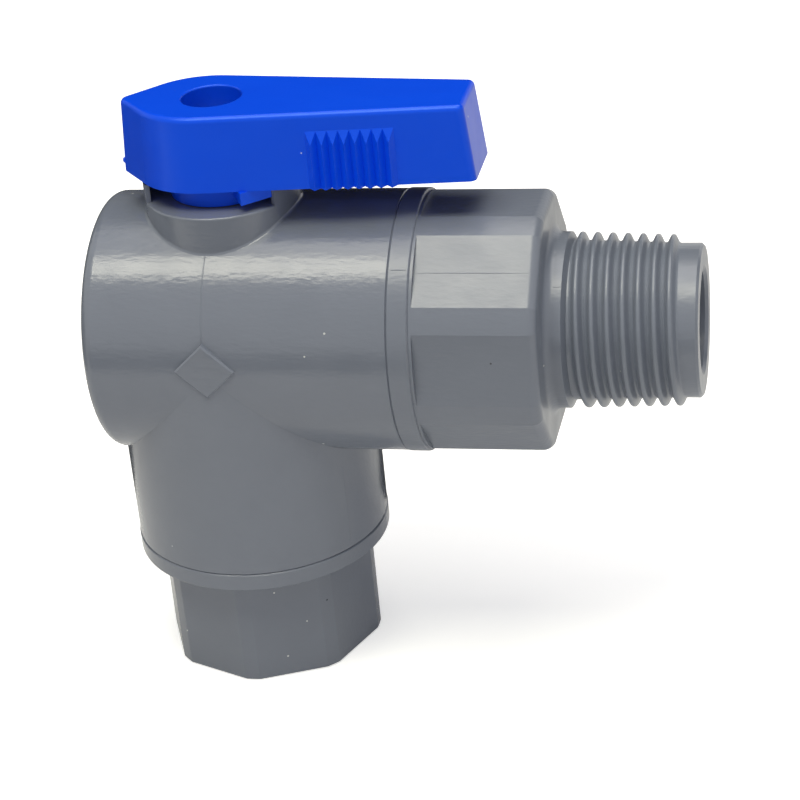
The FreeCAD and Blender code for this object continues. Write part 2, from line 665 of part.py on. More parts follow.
def make_lever_shell(body):
    """The drafted outside of the lever, hollow from below."""
    plan = polygon(body, "XY_Plane", offset_outline("0", "0"), lift=LEVER_BOTTOM)
    extrude(body, plan, "dim.lever_height")
    draft_faces(body, "dim.lever_side_draft", LEVER_TOP,
                lambda normal: abs(normal.z) < 0.3 and abs(normal.x) < 0.3)
    draft_faces(body, "dim.lever_nose_draft", LEVER_TOP,
                lambda normal: abs(normal.z) < 0.3 and normal.x < -0.3)
    draft_faces(body, "dim.lever_end_draft", LEVER_TOP,
                lambda normal: abs(normal.z) < 0.3 and normal.x > 0.9)

    def upright(edge, low, high):
        first, last = edge.Vertexes[0].Point, edge.Vertexes[-1].Point
        tall = abs(first.z - last.z) > size("dim.lever_height") / 2
        return tall and low < first.x < high

    nose, reach = -size("dim.lever_nose_reach"), size("dim.lever_reach")
    dress(body, "Fillet", "Radius", "dim.lever_shoulder_round",
          lambda edge: upright(edge, nose * 0.85, reach * 0.5))
    dress(body, "Fillet", "Radius", "dim.lever_end_round",
          lambda edge: upright(edge, reach * 0.9, reach * 1.1))
    dress(body, "Fillet", "Radius", "dim.lever_nose_round",
          lambda edge: upright(edge, nose * 1.1, nose * 0.9))
    top_height = size(LEVER_TOP)
    dress(body, "Fillet", "Radius", "dim.lever_top_round",
          lambda edge: all(abs(vertex.Z - top_height) < 0.01 for vertex in edge.Vertexes))
    inside = offset_outline("dim.lever_wall", "dim.lever_wall")
    hollow = polygon(body, "XY_Plane", inside, lift=LEVER_BOTTOM)
    extrude(body, hollow, "dim.lever_height - dim.lever_top_thickness", "Pocket", reverse=True)
    shoulders = [(size(inside[index][0]), size(inside[index][1])) for index in (1, 4)]

    def inner_shoulder(edge):
        corners = [(vertex.X, vertex.Y) for vertex in edge.Vertexes]
        return any(all(abs(x - across) + abs(y - up) < 0.01 for x, y in corners) for across, up in shoulders)

    dress(body, "Fillet", "Radius", "dim.lever_shoulder_round - dim.lever_wall", inner_shoulder)


def make_lever_ribs(body):
    """The long rib and the cross ribs inside the arm, and the rib into the nose."""
    under_top = "dim.lever_height - dim.lever_top_thickness"
    half = "dim.lever_rib / 2"
    nose = "(dim.lever_nose_reach - dim.lever_wall)"
    reach = "(dim.lever_reach - dim.lever_wall / 2)"
    spine = polygon(body, "XY_Plane", [("-" + nose, "-" + half), (reach, "-" + half),
                                       (reach, half), ("-" + nose, half)], lift=LEVER_BOTTOM)
    extrude(body, spine, under_top)
    number = 1
    while size("dim.hub_radius + %d * (dim.lever_cell + dim.lever_rib)" % number) < size(reach) - 1:
        left = "(dim.hub_radius + %d * (dim.lever_cell + dim.lever_rib) - dim.lever_rib)" % number
        right = left + " + dim.lever_rib"
        side = "(dim.lever_half_width - %s * tan(dim.lever_taper_angle) - dim.lever_wall / 2)" % left
        rib = polygon(body, "XY_Plane", [(left, "-" + side), (right, "-" + side),
                                         (right, side), (left, side)], lift=LEVER_BOTTOM)
        extrude(body, rib, under_top)
        number += 1


def lug_outline(outer):
    """The stop lug in plan, a sector beside the hub that meets the window's walls as the swing ends."""
    half = "((dim.window_right_angle + dim.window_left_angle - dim.lever_swing) / 2 - dim.stop_gap_angle)"
    middle = "(dim.window_right_angle - dim.stop_gap_angle - %s - 90)" % half
    inner = "dim.lug_inner_radius"
    corners = []
    for radius, sign in ((inner, "-"), (outer, "-"), (outer, "+"), (inner, "+")):
        angle = "(%s %s %s)" % (middle, sign, half)
        corners.append(("%s * cos%s" % (radius, angle), "%s * sin%s" % (radius, angle)))
    return corners


def make_lever_hub(body):
    """The hub on the stem, the stop lug, the screw's hole and shelf, and the square socket."""
    extrude(body, circle(body, "XY_Plane", "dim.hub_radius", lift=HUB_BOTTOM),
            "%s - dim.lever_top_thickness - %s" % (LEVER_TOP, HUB_BOTTOM))
    lug_bottom = "(%s + dim.lug_lift)" % FLOOR
    for outer, top in (("(dim.boss_radius - dim.lug_inset)", LEVER_BOTTOM),
                       ("dim.lug_web_radius", LEVER_TOP + " - dim.lever_top_thickness")):
        extrude(body, polygon(body, "XY_Plane", lug_outline(outer), lift=lug_bottom),
                "%s - %s" % (top, lug_bottom))
    extrude(body, circle(body, "XY_Plane", "dim.hole_radius", lift=LEVER_TOP),
            "%s - %s" % (LEVER_TOP, SHELF_TOP), "Pocket")
    extrude(body, circle(body, "XY_Plane", "dim.screw_hole_radius", lift=LEVER_TOP),
            "dim.lever_height", "Pocket")
    dress(body, "Fillet", "Radius", "dim.hole_edge_round",
          lambda edge: is_ring(edge, 2, size("dim.hole_radius"), size(LEVER_TOP)))
    side = "(dim.shank_side / 2 + dim.slide_gap)"
    socket = polygon(body, "XY_Plane", [("-" + side, "-" + side), (side, "-" + side),
                                        (side, side), ("-" + side, side)], lift=STEM_TOP)
    extrude(body, socket, "%s - %s" % (STEM_TOP, HUB_BOTTOM), "Pocket")


def follow_taper(sketch, side, role):
    """Turn a sketch about the lever's widest point so that it follows one tapered side."""
    upright = FreeCAD.Vector(0, 0, 1) if role == "XY_Plane" else FreeCAD.Vector(0, 1, 0)
    sketch.AttachmentOffset = FreeCAD.Placement(FreeCAD.Vector(), FreeCAD.Rotation(upright, -side))
    angle = "(%d * dim.lever_taper_angle)" % (-side)
    sketch.setExpression("AttachmentOffset.Rotation.Angle", angle)
    back = "-dim.lever_half_width * sin(dim.lever_taper_angle)"
    inward = "%d * dim.lever_half_width * (1 - cos(dim.lever_taper_angle))" % side
    moves = {"XY_Plane": ("x", "y"), "YZ_Plane": ("z", "x")}[role]
    sketch.setExpression("AttachmentOffset.Base." + moves[0], back)
    sketch.setExpression("AttachmentOffset.Base." + moves[1], inward)


def make_grips(body):
    """V-shaped ribs on both sides of the arm, leaning with its draft and hipped at their upper ends."""
    start = "(dim.grip_start / cos(dim.lever_taper_angle))"
    count = int(size("dim.grip_count"))
    slope = "tan(dim.lever_side_draft)"
    grip_top = "(%s + dim.grip_height)" % LEVER_BOTTOM
    for side in (-1, 1):
        foot = "(dim.lever_half_width + dim.lever_height * %s)" % slope
        wall = "%d * %s" % (side, foot)
        root = "%d * (%s - dim.lever_wall / 2)" % (side, foot)
        crest = "%d * (%s + dim.grip_rise)" % (side, foot)
        corners = [(start, root)]
        for number in range(count):
            left = "(%s + %d * dim.grip_pitch)" % (start, number)
            corners += [(left, wall), (left + " + dim.grip_pitch / 2", crest)]
        end = "(%s + %d * dim.grip_pitch)" % (start, count)
        corners += [(end, wall), (end, root)]
        teeth = polygon(body, "XY_Plane", corners, lift=LEVER_BOTTOM)
        follow_taper(teeth, side, "XY_Plane")
        extrude(body, teeth, "dim.grip_height",
                lean=("-sin(dim.lever_taper_angle) * " + slope,
                      "%d * cos(dim.lever_taper_angle) * %s" % (-side, slope)))
        foot = "(dim.lever_half_width + (dim.lever_height - dim.grip_height) * %s)" % slope
        wall = "%d * %s" % (side, foot)
        clear = "%d * (%s + 2 * dim.grip_rise)" % (side, foot)
        hip = polygon(body, "YZ_Plane", [(wall, grip_top),
                                         (clear, grip_top + " - 2 * dim.grip_hip_height"),
                                         (clear, grip_top + " + dim.lever_top_round"),
                                         (wall, grip_top + " + dim.lever_top_round")])
        follow_taper(hip, side, "YZ_Plane")
        extrude(body, hip, "2 * dim.lever_reach", "Pocket", both=True)


def make_handle():
    body = new_body("handle")
    make_lever_shell(body)
    make_lever_ribs(body)
    make_lever_hub(body)
    make_grips(body)
    return body


def make_handle_screw():
    body = new_body("handle_screw")
    head_top = SCREW_SEAT + " + dim.screw_head_height"
    tip = SCREW_SEAT + " - dim.screw_length"
    turn(body, [("0", tip),
                ("dim.screw_radius / 3", tip),
                ("dim.screw_radius", tip + " + dim.screw_radius"),
                ("dim.screw_radius", SCREW_SEAT),
                ("dim.screw_head_radius", SCREW_SEAT),
                ("dim.screw_head_radius", head_top),
                ("0", head_top)], "V_Axis")
    dress(body, "Fillet", "Radius", "dim.screw_head_round",
          lambda edge: is_ring(edge, 2, size("dim.screw_head_radius"), size(head_top)))
    long_half, thin_half = "dim.screw_slot_length / 2", "dim.screw_slot_width / 2"
    for across, up in ((long_half, thin_half), (thin_half, long_half)):
        slot = polygon(body, "XY_Plane", [("-" + across, "-" + up), (across, "-" + up),
                                          (across, up), ("-" + across, up)], lift=head_top)
        extrude(body, slot, "dim.screw_slot_depth", "Pocket")
    return body


def make_screw_washer():
    body = new_body("screw_washer")
    turn(body, [("dim.screw_hole_radius", SHELF_TOP),
                ("dim.screw_washer_radius", SHELF_TOP),
                ("dim.screw_washer_radius", SCREW_SEAT),
                ("dim.screw_hole_radius", SCREW_SEAT)], "V_Axis")
    return body


def make_stem_rings():
    centre = STEM_BORE + " - dim.stem_ring_section - dim.ring_gap"
    for number, label in enumerate(("stem_ring_lower", "stem_ring_upper")):
        make_ring(label, centre, "dim.stem_ring_section", stem_groove_height(number), about_x=False)


def write_pieces():
    """Check every object and every piece, then write one file for each piece."""
    doc.recompute()
    for item in doc.Objects:
        if "Invalid" in item.State or "Error" in item.State:
            raise ValueError("%s failed: %s" % (item.Label, item.State))
    os.makedirs("parts", exist_ok=True)
    for body in doc.findObjects("PartDesign::Body"):
        shape = body.Shape
        if shape.isNull() or not shape.isValid() or len(shape.Solids) != 1:
            raise ValueError("%s isn't one valid solid" % body.Label)
        shape.exportStep(os.path.join("parts", body.Label + ".step"))


make_valve_body()
make_inlet_connector()
make_outlet_connector()
make_seats_and_rings()
make_ball()
make_stem()
make_thrust_washer()
make_stem_rings()
make_handle()
make_handle_screw()
make_screw_washer()
write_pieces()
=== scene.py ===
"""Looks for a small right-angle ball valve: grey moulded body and connectors with a blue moulded lever.

Everything is in metres in the frame of the solids: the origin is the centre of the outlet's mouth, Z runs
up the outlet and the stem, and X runs along the barrel towards the threaded inlet.
"""
import json
import math

import bmesh
import bpy
from mathutils import Matrix, Vector


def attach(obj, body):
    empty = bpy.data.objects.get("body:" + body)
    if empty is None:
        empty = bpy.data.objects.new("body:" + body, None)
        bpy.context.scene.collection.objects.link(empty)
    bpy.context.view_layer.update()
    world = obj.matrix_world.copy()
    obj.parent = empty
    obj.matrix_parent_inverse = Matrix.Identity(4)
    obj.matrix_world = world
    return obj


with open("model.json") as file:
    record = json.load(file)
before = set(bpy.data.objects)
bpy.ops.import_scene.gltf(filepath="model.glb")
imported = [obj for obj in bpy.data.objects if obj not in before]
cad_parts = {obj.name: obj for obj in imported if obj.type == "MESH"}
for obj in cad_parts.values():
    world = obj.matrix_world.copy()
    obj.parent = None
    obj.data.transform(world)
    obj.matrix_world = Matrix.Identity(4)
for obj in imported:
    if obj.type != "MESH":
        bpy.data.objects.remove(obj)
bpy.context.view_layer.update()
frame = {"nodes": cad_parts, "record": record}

MM = 0.001

# Sizes of the solids that the added pieces sit on, in mm
AXIS_HEIGHT = 44.4
BARREL_RADIUS = 15.95
FLANGE_RADIUS = 16.04
NECK_RADIUS = 10.63
FLATS_RADIUS = 15.086
INLET_SEAM = 21.88
GRIP_START = 24.46
GRIP_END = 39.4
THREAD_START = 42.0
FIRST_CREST = 42.44
OUTLET_BORE_RADIUS = 10.4
LEVER_NOSE = 11.62
NUB_HEIGHT = 65.6

# Taper pipe thread of half-inch size, in mm; its radius changes by 1/32 of the length
PITCH = 25.4 / 14
TAPER = 1 / 32
THREAD_DEPTH = 0.99
# The inlet's cone at the thread's root, which narrows by 0.39 mm over its 12.6 mm
INLET_ROOT_RADIUS = 9.62
INLET_ROOT_TAPER = 0.39 / 12.6
# How far the ridge's foot sinks into the wall, as a share like those of the section below
INLET_SINK = 0.35
OUTLET_SINK = 0.3

# Where the moulds' halves met: on the barrel in mm along X, on the connector in degrees up from the front,
# and on the branch in degrees from the front round the stem's axis
BARREL_LINE_X = -0.3
CONNECTOR_LINE_ANGLE = 46.5
BRANCH_LINE_ANGLE = 57

# Width and height of a parting line where nothing else is said, in mm
LINE_WIDTH = 0.13
LINE_HEIGHT = 0.03

# The studio, in metres; the last is the direction from which the world gives most light
LAMP_DISTANCE = 1.0
FLOOR_WIDTH = 4.0
FLOOR_GAP = 0.00005
CARD_HEIGHT = 0.002
LIGHT_COMES_FROM = (0.50, -0.86, 0.10)

# The photograph's view: the camera's place in mm, where the picture's right and top point, and the lens
CAMERA_PLACE = (81.583, -263.918, 172.591)
CAMERA_RIGHT = (0.97886, 0.18576, -0.08555)
CAMERA_UP = (-0.01088, 0.46499, 0.88525)
FOCAL_LENGTH = 110.419

# Sockets of a mix node when it mixes colours
MIX_FACTOR, MIX_A, MIX_B, MIX_RESULT = 0, 6, 7, 2


def linear(hex_colour):
    """An sRGB hex colour as linear RGBA."""
    values = [int(hex_colour[i:i + 2], 16) / 255 for i in (1, 3, 5)]
    return [v / 12.92 if v <= 0.04045 else ((v + 0.055) / 1.055) ** 2.4 for v in values] + [1.0]


def add(material, kind, inputs=None, **settings):
    """One shader node with its settings; each input gets a value or another node's output."""
    tree = material.node_tree
    node = tree.nodes.new(kind)
    for name, value in settings.items():
        setattr(node, name, value)
    for name, value in (inputs or {}).items():
        socket = node.inputs[name]
        if isinstance(value, bpy.types.NodeSocket):
            tree.links.new(value, socket)
        else:
            socket.default_value = value
    return node


def blank(name):
    """A material with only its output and the coordinates of the frame, in metres."""
    material = bpy.data.materials.new(name)
    material.use_nodes = True
    material.node_tree.nodes.clear()
    place = add(material, "ShaderNodeTexCoord").outputs["Object"]
    output = add(material, "ShaderNodeOutputMaterial")
    return material, place, output


def per_metre(millimetres):
    """A noise scale whose features are about that many millimetres across."""
    return 1 / (millimetres * MM)


def flecks(material, place, apart):
    """Specks up to 0.3 mm across, that many mm apart; also a 0 or 1 that picks one in three of them."""
    cells = add(material, "ShaderNodeTexVoronoi", {"Vector": place, "Scale": per_metre(apart)})
    patches = add(material, "ShaderNodeTexNoise", {"Vector": place, "Scale": per_metre(14)})
    reach = add(material, "ShaderNodeMapRange", {"Value": patches.outputs["Fac"], "From Min": 0.42,
                                                 "From Max": 0.6, "To Min": 0.0,
                                                 "To Max": 0.16 / apart})
    fleck = add(material, "ShaderNodeMath", {0: cells.outputs["Distance"], 1: reach.outputs[0]},
                operation="LESS_THAN")
    draw = add(material, "ShaderNodeSeparateColor", {0: cells.outputs["Color"]})
    pick = add(material, "ShaderNodeMath", {0: draw.outputs[0], 1: 0.67}, operation="GREATER_THAN")
    return fleck.outputs[0], pick.outputs[0]


def moulded_pvc():
    """Injection-moulded grey PVC-U. The steel mould leaves a semi-gloss skin with a faint ripple, the melt
    leaves slightly uneven grey, and handling leaves a few pale specks and small dull rubs."""
    material, place, output = blank("moulded_grey_pvc")
    cloud = add(material, "ShaderNodeTexNoise", {"Vector": place, "Scale": per_metre(9), "Detail": 4.0,
                                                 "Roughness": 0.55})
    grey = add(material, "ShaderNodeMix", {MIX_FACTOR: cloud.outputs["Fac"], MIX_A: linear("#6b717d"),
                                           MIX_B: linear("#737985")}, data_type="RGBA")
    fleck, pick = flecks(material, place, 3.4)
    dust = add(material, "ShaderNodeMix", {MIX_FACTOR: pick, MIX_A: linear("#c4c6c4"),
                                           MIX_B: linear("#3a3e45")}, data_type="RGBA")
    coat = add(material, "ShaderNodeMix", {MIX_FACTOR: fleck, MIX_A: grey.outputs[MIX_RESULT],
                                           MIX_B: dust.outputs[MIX_RESULT]}, data_type="RGBA")
    # dull rubs a few millimetres across
    rub = add(material, "ShaderNodeTexNoise", {"Vector": place, "Scale": per_metre(3.5), "Detail": 3.0})
    gloss = add(material, "ShaderNodeMapRange", {"Value": rub.outputs["Fac"], "From Min": 0.35,
                                                 "From Max": 0.7, "To Min": 0.17, "To Max": 0.24})
    # the inlet connector comes from its own mould, with a duller skin
    spot = add(material, "ShaderNodeSeparateXYZ", {0: place})
    duller = add(material, "ShaderNodeMapRange", {"Value": spot.outputs["X"], "From Min": INLET_SEAM * MM,
                                                  "From Max": (INLET_SEAM + 0.2) * MM, "To Min": 0.0,
                                                  "To Max": 0.115})
    gloss = add(material, "ShaderNodeMath", {0: gloss.outputs[0], 1: duller.outputs[0]}, operation="ADD")
    # orange peel drawn out along the barrel, about 0.5 mm across and hundredths of a millimetre deep
    along = add(material, "ShaderNodeMapping", {"Vector": place, "Scale": (0.4, 1.0, 1.0)})
    peel = add(material, "ShaderNodeTexNoise", {"Vector": along.outputs[0], "Scale": per_metre(0.5),
                                                "Detail": 2.0})
    skin = add(material, "ShaderNodeBump", {"Height": peel.outputs["Fac"], "Strength": 0.75,
                                            "Distance": 0.04 * MM})
    shader = add(material, "ShaderNodeBsdfPrincipled",
                 {"Base Color": coat.outputs[MIX_RESULT], "Roughness": gloss.outputs[0], "IOR": 1.53,
                  "Normal": skin.outputs[0]})
    material.node_tree.links.new(shader.outputs[0], output.inputs["Surface"])
    return material


def moulded_abs():
    """Injection-moulded blue ABS, coloured through. Satin, so its edges catch a soft light, with faint flow
    streaks along the arm and fine rubs from hands."""
    material, place, output = blank("moulded_blue_abs")
    along = add(material, "ShaderNodeMapping", {"Vector": place, "Scale": (0.25, 1.0, 1.0)})
    flow = add(material, "ShaderNodeTexNoise", {"Vector": along.outputs[0], "Scale": per_metre(4),
                                                "Detail": 3.0})
    blue = add(material, "ShaderNodeMix", {MIX_FACTOR: flow.outputs["Fac"], MIX_A: linear("#0446e0"),
                                           MIX_B: linear("#044ce8")}, data_type="RGBA")
    fleck, pick = flecks(material, place, 3.4)
    pale = add(material, "ShaderNodeMath", {0: fleck, 1: pick}, operation="SUBTRACT", use_clamp=True)
    coat = add(material, "ShaderNodeMix", {MIX_FACTOR: pale.outputs[0], MIX_A: blue.outputs[MIX_RESULT],
                                           MIX_B: linear("#b9c4da")}, data_type="RGBA")
    rub = add(material, "ShaderNodeTexNoise", {"Vector": place, "Scale": per_metre(2.5), "Detail": 4.0})
    gloss = add(material, "ShaderNodeMapRange", {"Value": rub.outputs["Fac"], "From Min": 0.35,
                                                 "From Max": 0.7, "To Min": 0.30, "To Max": 0.34})
    ripple = add(material, "ShaderNodeTexNoise", {"Vector": place, "Scale": per_metre(2.2), "Detail": 2.0})
    skin = add(material, "ShaderNodeBump", {"Height": ripple.outputs["Fac"], "Strength": 0.12,
                                            "Distance": 0.03 * MM})
    shader = add(material, "ShaderNodeBsdfPrincipled",
                 {"Base Color": coat.outputs[MIX_RESULT], "Roughness": gloss.outputs[0], "IOR": 1.54,
                  "Specular IOR Level": 0.48, "Specular Tint": linear("#9fd0ff"),
                  "Normal": skin.outputs[0]})
    material.node_tree.links.new(shader.outputs[0], output.inputs["Surface"])
    return material


def turned_pvc():
    """Machined grey PVC for the ball and stem: smooth and a little darker, with turning rings 0.8 mm apart.
    Real rings are finer than a render can hold."""
    material, place, output = blank("turned_grey_pvc")
    # a wave texture repeats every pi / 10 of its scaled length
    rings = add(material, "ShaderNodeTexWave", {"Vector": place, "Scale": per_metre(0.8) * math.pi / 10,
                                                "Distortion": 0.4}, bands_direction="Z")
    tone = add(material, "ShaderNodeMix", {MIX_FACTOR: rings.outputs["Fac"], MIX_A: linear("#676c72"),
                                           MIX_B: linear("#6d7278")}, data_type="RGBA")
    skin = add(material, "ShaderNodeBump", {"Height": rings.outputs["Fac"], "Strength": 0.2,
                                            "Distance": 0.01 * MM})
    shader = add(material, "ShaderNodeBsdfPrincipled",
                 {"Base Color": tone.outputs[MIX_RESULT], "Roughness": 0.22, "IOR": 1.53,
                  "Normal": skin.outputs[0]})
    material.node_tree.links.new(shader.outputs[0], output.inputs["Surface"])
    return material


def virgin_ptfe():
    """Turned PTFE: waxy white, a little translucent, never quite matt."""
    material, place, output = blank("virgin_ptfe")
    wax = add(material, "ShaderNodeTexNoise", {"Vector": place, "Scale": per_metre(2), "Detail": 3.0})
    tone = add(material, "ShaderNodeMix", {MIX_FACTOR: wax.outputs["Fac"], MIX_A: linear("#e2e2dd"),
                                           MIX_B: linear("#ecece8")}, data_type="RGBA")
    shader = add(material, "ShaderNodeBsdfPrincipled",
                 {"Base Color": tone.outputs[MIX_RESULT], "Roughness": 0.42, "IOR": 1.35,
                  "Subsurface Weight": 0.2, "Subsurface Scale": 0.5 * MM})
    material.node_tree.links.new(shader.outputs[0], output.inputs["Surface"])
    return material


def nitrile_rubber():
    """Moulded nitrile rings: black, with a soft satin skin and a trace of grey bloom."""
    material, place, output = blank("nitrile_rubber")
    bloom = add(material, "ShaderNodeTexNoise", {"Vector": place, "Scale": per_metre(1.2), "Detail": 4.0})
    tone = add(material, "ShaderNodeMix", {MIX_FACTOR: bloom.outputs["Fac"], MIX_A: linear("#161617"),
                                           MIX_B: linear("#26272a")}, data_type="RGBA")
    shader = add(material, "ShaderNodeBsdfPrincipled",
                 {"Base Color": tone.outputs[MIX_RESULT], "Roughness": 0.55, "IOR": 1.52})
    material.node_tree.links.new(shader.outputs[0], output.inputs["Surface"])
    return material


def stainless_steel():
    """Cold-headed stainless steel: bright, with fine drawn marks round the head."""
    material, place, output = blank("stainless_steel")
    drawn = add(material, "ShaderNodeTexNoise", {"Vector": place, "Scale": per_metre(0.35), "Detail": 3.0})
    gloss = add(material, "ShaderNodeMapRange", {"Value": drawn.outputs["Fac"], "From Min": 0.3,
                                                 "From Max": 0.7, "To Min": 0.29, "To Max": 0.38})
    tone = add(material, "ShaderNodeMix", {MIX_FACTOR: drawn.outputs["Fac"], MIX_A: linear("#b9bbbd"),
                                           MIX_B: linear("#c9cacb")}, data_type="RGBA")
    shader = add(material, "ShaderNodeBsdfPrincipled",
                 {"Base Color": tone.outputs[MIX_RESULT], "Metallic": 1.0, "Roughness": gloss.outputs[0]})
    material.node_tree.links.new(shader.outputs[0], output.inputs["Surface"])
    return material


PVC = moulded_pvc()
ABS = moulded_abs()
TURNED = turned_pvc()
PTFE = virgin_ptfe()
RUBBER = nitrile_rubber()
STEEL = stainless_steel()

FINISHES = {
    "body_pvc": PVC,
    "ball_pvc": TURNED,
    "seat_ptfe": PTFE,
    "seal_rubber": RUBBER,
    "lever_blue": ABS,
    "screw_steel": STEEL,
}


def dress_solids():
    """Each solid takes the finish of its material slot."""
    slots = {part["node"]: part["material_slot"] for part in frame["record"]["subparts"]}
    for name, piece in frame["nodes"].items():
        piece.data.materials.clear()
        piece.data.materials.append(FINISHES[slots[name]])


def piece_from(name, points, faces, material, body):
    """A new smooth-shaded mesh piece in the frame, in its finish, riding on a body."""
    mesh = bpy.data.meshes.new(name)
    mesh.from_pydata([Vector(p) * MM for p in points], [], faces)
    shape = bmesh.new()
    shape.from_mesh(mesh)
    bmesh.ops.remove_doubles(shape, verts=shape.verts, dist=1e-7)
    bmesh.ops.recalc_face_normals(shape, faces=shape.faces)
    shape.to_mesh(mesh)
    shape.free()
    mesh.shade_smooth()
    mesh.materials.append(material)
    piece = bpy.data.objects.new(name, mesh)
    bpy.context.scene.collection.objects.link(piece)
    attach(piece, body)


def sweep(rings):
    """Points and faces of a tube through closed rings of points, with flat ends."""
    points = [point for ring in rings for point in ring]
    count = len(rings[0])
    faces = []
    for step in range(len(rings) - 1):
        for side in range(count):
            near, far = step * count + side, step * count + (side + 1) % count
            faces.append((near, far, far + count, near + count))
    faces.append(tuple(range(count - 1, -1, -1)))
    faces.append(tuple((len(rings) - 1) * count + side for side in range(count)))
    return points, faces


# Thread ridge in section, as (along in mm, share of the depth): 60 degree flanks and a rounded crest
RIDGE = [(-1.0, -0.3), (-0.90, 0.0), (-0.78, 0.03), (-0.66, 0.11), (-0.55, 0.29), (-0.32, 0.76),
         (-0.22, 0.92), (-0.10, 1.0), (0.10, 1.0), (0.22, 0.92), (0.32, 0.76), (0.55, 0.29),
         (0.66, 0.11), (0.78, 0.03), (0.90, 0.0), (1.0, -0.3)]
STEPS_PER_TURN = 120


def fade(turn, first, last, ease):
    """1 along the ridge, falling smoothly to 0 within ease of a turn at both its ends."""
    share = min(1.0, (turn - first) / ease, (last - turn) / ease)
    return max(0.0, share) ** 2 * (3 - 2 * max(0.0, share))


def thread_ridge(name, first, last, ease, spot):
    """A thread's ridge from its first to its last turn; spot puts a point of the section on the wall."""
    rings = []
    steps = int((last - first) * STEPS_PER_TURN)
    for step in range(steps + 1):
        turn = first + (last - first) * step / steps
        depth = THREAD_DEPTH * fade(turn, first, last, ease)
        rings.append([spot(2 * math.pi * turn, PITCH * turn + along, depth, share)
                      for along, share in RIDGE])
    points, faces = sweep(rings)
    piece_from(name, points, faces, PVC, "valve")


def on_inlet(angle, along, depth, share):
    """A point of the male ridge, on the neck that narrows towards the mouth."""
    x = FIRST_CREST + along
    root = INLET_ROOT_RADIUS - (x - THREAD_START) * INLET_ROOT_TAPER
    radius = root + (depth * share if share > 0 else INLET_SINK * share)
    return x, radius * math.cos(angle), AXIS_HEIGHT + radius * math.sin(angle)


def in_outlet(angle, z, depth, share):
    """A point of the female ridge, in the outlet's bore; its crest narrows upwards."""
    inward = depth * share + (z * TAPER if share > 0.05 else 0.0) * depth
    radius = OUTLET_BORE_RADIUS - (inward if share > 0 else OUTLET_SINK * share)
    return radius * math.cos(angle), radius * math.sin(angle), z


def threads():
    """Both right-handed taper threads: seven turns on the inlet, six in the outlet."""
    thread_ridge("inlet_thread", first=-0.10, last=6.97, ease=0.16, spot=on_inlet)
    thread_ridge("outlet_thread", first=0.56, last=6.6, ease=0.12, spot=in_outlet)


def bead(name, spots, width=LINE_WIDTH, height=LINE_HEIGHT):
    """A thin raised bead on the grey mouldings, through spots that each give a point and its normal."""
    rings = []
    for index, (point, up) in enumerate(spots):
        before, after = spots[max(index - 1, 0)][0], spots[min(index + 1, len(spots) - 1)][0]
        along = (after - before).normalized()
        side = along.cross(up).normalized()
        taper = 0.25 if index in (0, len(spots) - 1) else 1.0
        rings.append([point + side * (across * width / 2 * taper) + up * (rise * taper)
                      for across, rise in ((-1, -0.08), (-0.7, height * 0.6), (0, height),
                                           (0.7, height * 0.6), (1, -0.08))])
    points, faces = sweep(rings)
    piece_from(name, points, faces, PVC, "valve")


def on_barrel(x, angle, radius):
    """A point and its normal round the barrel's axis, the angle counted up from the front."""
    turn = math.radians(angle)
    normal = Vector((0, -math.cos(turn), math.sin(turn)))
    return Vector((x, 0, AXIS_HEIGHT)) + normal * radius, normal


def between(first, last, steps):
    """Evenly spaced values from the first to the last."""
    return [first + (last - first) * i / steps for i in range(steps + 1)]


def line_round(name, first, last, width=LINE_WIDTH, height=LINE_HEIGHT):
    """A parting line across the barrel, between two angles and in a plane square to its axis."""
    angles = between(first, last, int(abs(last - first) / 3))
    bead(name, [on_barrel(BARREL_LINE_X, angle, BARREL_RADIUS) for angle in angles], width, height)


def line_along(name, first, last, radius, width=LINE_WIDTH, height=LINE_HEIGHT):
    """A parting line along the inlet connector, on a surface at that distance from its axis."""
    places = between(first, last, 6)
    bead(name, [on_barrel(x, CONNECTOR_LINE_ANGLE, radius) for x in places], width, height)


def branch_line():
    """The parting line down the right of the branch."""
    turn = math.radians(BRANCH_LINE_ANGLE)
    normal = Vector((math.sin(turn), -math.cos(turn), 0))
    bead("branch_line", [(normal * BARREL_RADIUS + Vector((0, 0, height)), normal)
                         for height in (17.4, 20, 23, 26, 28.5)], width=0.14, height=0.02)


def mould_lines():
    """Parting lines where the mould's halves met, on the body and on the inlet connector."""
    line_round("barrel_line_front", 13.5, 53.5, width=0.2, height=0.045)
    line_round("barrel_line_back", 125, 215)
    line_along("flange_line", INLET_SEAM + 0.3, GRIP_START - 0.3, FLANGE_RADIUS)
    line_along("flat_line", GRIP_START + 0.4, GRIP_END - 1.0, FLATS_RADIUS)
    line_along("neck_line", GRIP_END + 1.1, GRIP_END + 2.1, NECK_RADIUS, width=0.07, height=0.015)
    branch_line()


def gate_nub():
    """The stub left on the lever's nose where the moulding was broken off its runner."""
    sides = 16
    rings = []
    for out, radius in ((-0.25, 0.55), (0.05, 0.5), (0.2, 0.36), (0.32, 0.3), (0.38, 0.16)):
        rings.append([(-LEVER_NOSE - out, radius * math.cos(turn), NUB_HEIGHT + radius * math.sin(turn))
                      for turn in (2 * math.pi * i / sides for i in range(sides))])
    points, faces = sweep(rings)
    piece_from("gate_nub", points, faces, ABS, "lever")


